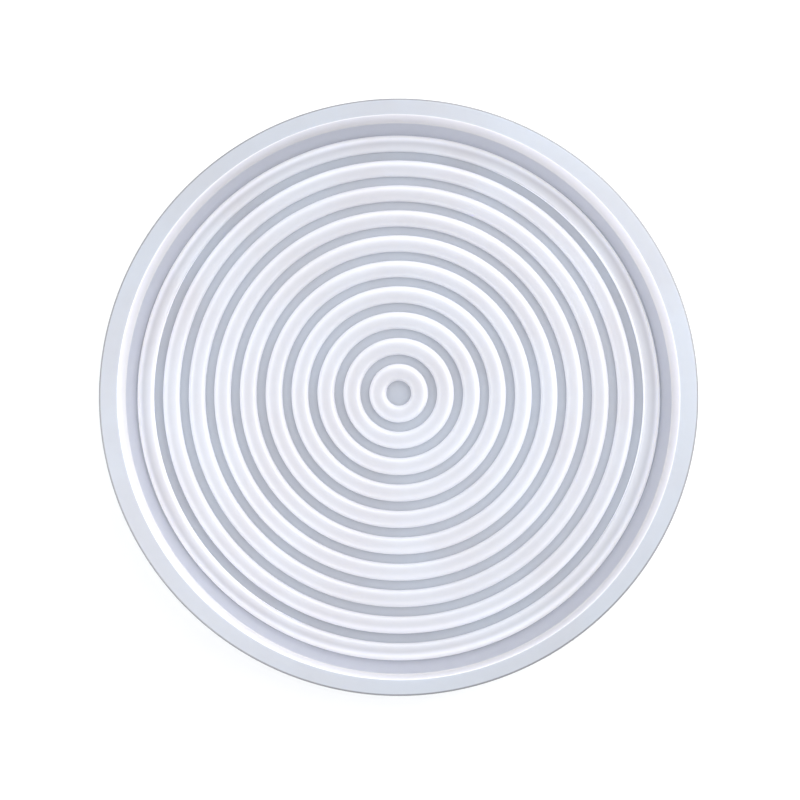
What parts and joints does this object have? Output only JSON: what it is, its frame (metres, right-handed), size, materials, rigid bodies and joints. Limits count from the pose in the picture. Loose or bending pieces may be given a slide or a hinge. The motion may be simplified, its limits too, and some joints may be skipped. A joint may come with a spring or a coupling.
{
  "type": "resin casting mould",
  "caption": "Round open-top silicone mould with an upright wall, a flat rim and raised concentric rings on its floor, for casting a grooved resin coaster.",
  "frame": {"origin": "centre of the flat underside", "axes": "+Z along the mould's axis, up out of its open side; the shape is the same all round, so +X and +Y are any two square directions"},
  "size_m": [0.1066, 0.1066, 0.0074],
  "materials": {
    "silicone": "milky translucent silicone, satin and slightly bluish, paler where it is thick"
  },
  "bodies": {
    "root": {"mould_body": "silicone"}
  },
  "joints": []
}
